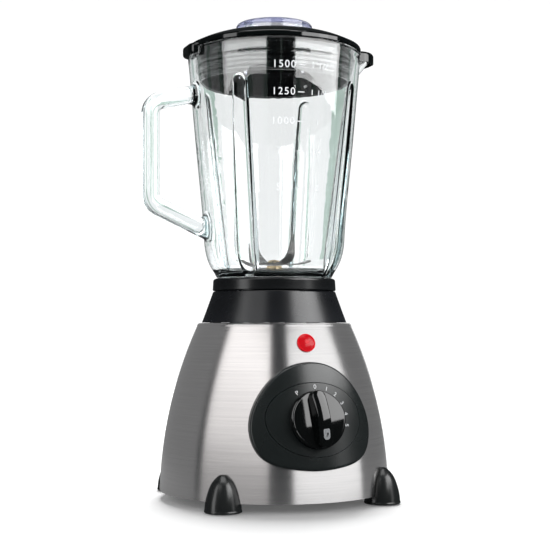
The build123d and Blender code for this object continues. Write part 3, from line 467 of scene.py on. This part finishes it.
def glass_tick(name, z):
    """Short raised line after a number, curved with the jug's wall."""
    start, end = (math.radians(a) for a in TICK_DEG)
    length = (end - start) * glass_radius(start, z)
    section = [
        (-TICK_THICK / 2, -MARK_PROUD),
        (-TICK_THICK / 3, MARK_PROUD),
        (TICK_THICK / 3, MARK_PROUD),
        (TICK_THICK / 2, -MARK_PROUD),
    ]
    vertices = [(length * k / TICK_STEPS, y, lift) for k in range(TICK_STEPS + 1) for y, lift in section]
    faces = []
    for first in range(0, 4 * TICK_STEPS, 4):
        for side in range(first, first + 3):
            faces.append((side, side + 4, side + 5, side + 1))
    last = 4 * TICK_STEPS
    faces += [(0, 1, 2, 3), (last + 3, last + 2, last + 1, last)]
    mesh = bpy.data.meshes.new(name)
    mesh.from_pydata(vertices, [], faces)
    glass_mark(name, mesh, start, z)


for number, (z, fraction) in GRADUATIONS.items():
    number_end = math.radians(NUMBER_END_DEG)
    glass_text("graduation_" + number, number, MARK_HEIGHT, "RIGHT", number_end, z)
    fraction_middle = math.radians(FRACTION_DEG)
    glass_text("litre_mark_" + number, fraction, FRACTION_HEIGHT, "CENTER", fraction_middle, z)
    glass_tick("graduation_tick_" + number, z)

# ---------------------------------------------------------------- studio
CAMERA_AZIMUTH = math.radians(-20.8)
CAMERA_DISTANCE = 0.973
CAMERA_HEIGHT = 0.140
FOCAL_MM = 78.55
SENSOR_MM = 36
HORIZON_SHIFT = 0.0891
SIDEWAYS_SHIFT = 0.0015

ROOM_RADIUS = 3.0
ROOM_HEIGHT = 2.6
ROOM_BEND = 0.9
BEND_STEPS = 12
FLOOR_MIDDLE = 0.0005
FLOOR_NEAR = 0.4
FLOOR_GLOW = 0.10
FLOOR_GLOW_FAR = 0.25
WALL_GLOW = 0.77
GLOW_START = 0.35
GLOW_END = 1.5
FLAG_GLOW = 0.50
FLAG_TINT = (0.78, 1, 0.88, 1)
WORLD_COLOUR = (0.90, 0.95, 1.0, 1)
WORLD_STRENGTH = 0.05
STRIP_COUNT = 16
STRIP_RADIUS = 2.6
STRIP_WIDTH_DEG = 6.5
STRIP_LOW = 0.02
STRIP_TOP = 1.9
FRONT_FLAG_START = -9
FRONT_FLAG_END = 27
FRONT_FLAG_STEP = 9
FRONT_FLAG_LOW = 0.15
FRONT_FLAG_HIGH = 1.6


def direction(azimuth_from_camera):
    """Unit vector, level, at an angle round the object from the camera's side."""
    a = CAMERA_AZIMUTH + math.radians(azimuth_from_camera)
    return Vector((math.sin(a), -math.cos(a), 0))


def stage_mesh(name, vertices, faces, material):
    """Smooth object of the studio, which is drawn and marked as part of the stage."""
    mesh = bpy.data.meshes.new(name)
    mesh.from_pydata(vertices, [], faces)
    for face in mesh.polygons:
        face.use_smooth = True
    mesh.materials.append(material)
    thing = bpy.data.objects.new(name, mesh)
    bpy.context.scene.collection.objects.link(thing)
    thing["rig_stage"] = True
    return thing


def turned_mesh(profile, steps=96):
    """Vertices and faces of a profile of (radius, height) turned round the Z axis."""
    vertices, faces = [], []
    for radius, height in profile:
        for k in range(steps):
            a = 2 * math.pi * k / steps
            vertices.append((radius * math.cos(a), radius * math.sin(a), height))
    for row in range(len(profile) - 1):
        for k in range(steps):
            nxt = (k + 1) % steps
            low = row * steps
            high = low + steps
            faces.append((low + k, low + nxt, high + nxt, high + k))
    return vertices, faces


def paper(name, albedo, glow_near, glow_far):
    """Matte studio paper, lit from behind more strongly away from the middle of the room."""
    m = Nodes(name)
    m.set(Base_Color=(albedo, albedo, albedo, 1), Roughness=0.65, Specular_IOR_Level=0.2)
    m.set(Emission_Color=(1, 1, 1, 1))
    where = m.add("ShaderNodeTexCoord")
    length = m.add("ShaderNodeVectorMath", operation="LENGTH")
    m.link(where.outputs["Object"], length.inputs[0])
    glow = m.spread(length.outputs["Value"], glow_near, glow_far, GLOW_START, GLOW_END)
    m.link(glow, m.shader.inputs["Emission Strength"])
    return m.material


floor_paper = paper("studio_floor_paper", albedo=0.90, glow_near=FLOOR_GLOW, glow_far=FLOOR_GLOW_FAR)
wall_paper = paper("studio_wall_paper", albedo=0.30, glow_near=WALL_GLOW, glow_far=WALL_GLOW)

flat_radius = ROOM_RADIUS - ROOM_BEND
floor_profile = [(FLOOR_MIDDLE, 0.0), (FLOOR_NEAR, 0.0), (flat_radius, 0.0)]
floor = stage_mesh("studio_floor", *turned_mesh(floor_profile), floor_paper)
wall_profile = [(flat_radius, 0.0)]
for k in range(1, BEND_STEPS + 1):
    a = math.radians(90 * k / BEND_STEPS)
    wall_profile.append((flat_radius + ROOM_BEND * math.sin(a), ROOM_BEND - ROOM_BEND * math.cos(a)))
wall_profile.append((ROOM_RADIUS, ROOM_HEIGHT))
wall = stage_mesh("studio_wall", *turned_mesh(wall_profile), wall_paper)
wall.visible_glossy = False
floor.visible_glossy = False

flag = Nodes("grey_flag")
flag.set(Base_Color=(0.10, 0.12, 0.115, 1), Roughness=0.9)
flag.set(Emission_Color=FLAG_TINT, Emission_Strength=FLAG_GLOW)
strip_vertices, strip_faces = [], []
for k in range(STRIP_COUNT):
    centre = 180 + (k + 0.5) * 360 / STRIP_COUNT
    for edge in (-0.5, 0.5):
        foot = direction(centre + edge * STRIP_WIDTH_DEG) * STRIP_RADIUS
        for height in (STRIP_LOW, STRIP_TOP):
            strip_vertices.append(foot + Vector((0, 0, height)))
    strip_faces.append((4 * k, 4 * k + 1, 4 * k + 3, 4 * k + 2))
strips = stage_mesh("studio_flags", strip_vertices, strip_faces, flag.material)

black = Nodes("black_flag")
black.set(Base_Color=(0.004, 0.006, 0.006, 1), Roughness=0.9)
panel_vertices = [
    direction(azimuth) * STRIP_RADIUS + Vector((0, 0, height))
    for azimuth in range(FRONT_FLAG_START, FRONT_FLAG_END + 1, FRONT_FLAG_STEP)
    for height in (FRONT_FLAG_LOW, FRONT_FLAG_HIGH)
]
panel_faces = [(k, k + 1, k + 3, k + 2) for k in range(0, len(panel_vertices) - 2, 2)]
front_flag = stage_mesh("studio_front_flag", panel_vertices, panel_faces, black.material)
for thing in (strips, front_flag):
    thing.visible_camera = False
    thing.visible_diffuse = False
    thing.visible_glossy = False
    thing.visible_shadow = False


def collected(name, things):
    """Collection that tells a light which things it lights, or which ones cast its shadows."""
    group = bpy.data.collections.new(name)
    for thing in things:
        group.objects.link(thing)
    return group


def softbox(
    name, receivers, azimuth, distance, height, width, tall, radiance, aim_height=None, colour=(1, 1, 1)
):
    """Rectangular soft light that faces the jug's axis, upright unless it is aimed at a height."""
    light = bpy.data.lights.new(name, "AREA")
    light.shape = "RECTANGLE"
    light.size = width
    light.size_y = tall
    light.energy = radiance * math.pi * width * tall
    light.color = colour
    lamp = bpy.data.objects.new(name, light)
    bpy.context.scene.collection.objects.link(lamp)
    lamp.location = direction(azimuth) * distance + Vector((0, 0, height))
    aim = Vector((0, 0, height if aim_height is None else aim_height)) - lamp.location
    lamp.rotation_mode = "QUATERNION"
    lamp.rotation_quaternion = aim.to_track_quat("-Z", "Y")
    lamp.visible_camera = False
    lamp.light_linking.receiver_collection = receivers
    return lamp


STAGE_THINGS = [floor, wall]
WARM = (1.0, 0.975, 0.965)
GLASS_SLOTS = ("jug_glass", "clear_cap")
GLOSSY_SLOTS = ("knob_plastic", "inlay_plastic", "brass_bush")
SATIN_SLOTS = (
    "lid_plastic", "seal_rubber", "neck_plastic", "bezel_plastic", "dial_plastic", "foot_plastic",
    "collar_plastic", "badge_red", "base_plastic", "gland_rubber", "pad_rubber",
)
SHADOW_SLOTS = ("foot_plastic", "base_plastic", "bezel_plastic", "neck_plastic", SLOT_OF["steel_shell"])
ALL_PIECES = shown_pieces()


def of_slots(slots):
    """Pieces made in one of these materials of the record."""
    return [o for o in ALL_PIECES if SLOT_OF.get(o.get("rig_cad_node")) in slots]


glass_things = of_slots(GLASS_SLOTS)
glossy_things = of_slots(GLOSSY_SLOTS)
satin_things = of_slots(SATIN_SLOTS)
metal_things = [o for o in ALL_PIECES if o not in glass_things + glossy_things + satin_things]
base_things = of_slots(SHADOW_SLOTS)
for_stage = collected("lit_stage", STAGE_THINGS)
for_glass = collected("lit_glass", glass_things)
for_glossy = collected("lit_glossy", glossy_things)
for_satin = collected("lit_satin", satin_things)
for_metal = collected("lit_metal", metal_things)
for_top = collected("lit_top", glass_things + glossy_things + metal_things)

# Azimuths are in degrees from the camera, lengths in metres.
METAL_LIGHTS = {
    "left_metal": dict(
        azimuth=-40, distance=1.30, height=0.98, width=1.82, tall=1.5, radiance=1.22, colour=WARM,
    ),
    "left_metal_high": dict(
        azimuth=-40, distance=1.32, height=1.35, width=1.82, tall=1.1, radiance=0.55, colour=WARM,
    ),
    "right_metal": dict(azimuth=56, distance=1.30, height=0.75, width=2.00, tall=1.9, radiance=1.40),
    "left_metal_edge": dict(azimuth=-122, distance=1.30, height=0.75, width=2.15, tall=1.9, radiance=0.20),
    "right_metal_edge": dict(azimuth=124, distance=1.30, height=0.75, width=1.60, tall=1.9, radiance=0.17),
    "left_metal_low": dict(
        azimuth=-40, distance=1.30, height=0.00, width=1.82, tall=0.5, radiance=0.35, colour=WARM,
    ),
    "rear_metal": dict(azimuth=177, distance=1.30, height=0.75, width=0.90, tall=1.9, radiance=0.70),
    "under_metal": dict(
        azimuth=0, distance=0.0, height=0.002, width=0.90, tall=0.9, radiance=0.10, aim_height=1.0,
    ),
}
GLASS_LIGHTS = {
    "left_glass": dict(azimuth=-40, distance=1.30, height=1.33, width=1.50, tall=1.9, radiance=4.6),
    "right_glass": dict(azimuth=61, distance=1.30, height=1.33, width=1.70, tall=1.9, radiance=7.6),
}
GLOSSY_LIGHTS = {
    "left_glossy": dict(azimuth=-40, distance=1.30, height=1.33, width=1.50, tall=1.9, radiance=3.0),
    "right_glossy": dict(azimuth=64, distance=1.30, height=1.33, width=1.68, tall=1.9, radiance=6.5),
}
SATIN_LIGHTS = {
    "over_satin": dict(
        azimuth=0, distance=0.30, height=1.90, width=1.40, tall=1.0, radiance=3.2, aim_height=0.1,
    ),
    "front_satin_left": dict(azimuth=-37, distance=1.25, height=1.22, width=1.00, tall=0.75, radiance=1.5),
    "front_satin_right": dict(azimuth=62, distance=1.25, height=1.08, width=1.25, tall=1.04, radiance=6.6),
    "left_satin": dict(azimuth=-58, distance=1.30, height=0.45, width=0.44, tall=1.2, radiance=3.0),
    "right_satin": dict(azimuth=66, distance=1.30, height=0.45, width=0.30, tall=1.2, radiance=1.6),
}
for lights, group in (
    (METAL_LIGHTS, for_metal),
    (GLASS_LIGHTS, for_glass),
    (GLOSSY_LIGHTS, for_glossy),
    (SATIN_LIGHTS, for_satin),
):
    for name, values in lights.items():
        softbox(name, group, **values)
softbox(
    "top_light", for_top,
    azimuth=150, distance=1.0, height=2.1, width=2.4, tall=1.6, radiance=1.2, aim_height=0.2,
)
floor_light = softbox(
    "floor_light", for_stage,
    azimuth=180, distance=1.20, height=2.2, width=1.2, tall=1.2, radiance=14.0, aim_height=0.0,
)
floor_light.light_linking.blocker_collection = collected("shades_floor", base_things)

world = bpy.data.worlds.new("studio_world")
world.use_nodes = True
background = world.node_tree.nodes["Background"]
background.inputs["Color"].default_value = WORLD_COLOUR
background.inputs["Strength"].default_value = WORLD_STRENGTH
bpy.context.scene.world = world

camera_data = bpy.data.cameras.new("camera")
camera_data.lens = FOCAL_MM
camera_data.sensor_width = SENSOR_MM
camera_data.shift_x = SIDEWAYS_SHIFT
camera_data.shift_y = HORIZON_SHIFT
camera = bpy.data.objects.new("camera", camera_data)
bpy.context.scene.collection.objects.link(camera)
camera.location = direction(0) * CAMERA_DISTANCE + Vector((0, 0, CAMERA_HEIGHT))
camera.rotation_mode = "QUATERNION"
camera.rotation_quaternion = (-direction(0)).to_track_quat("-Z", "Y")
bpy.context.scene.camera = camera
bpy.context.scene.view_settings.view_transform = "Standard"
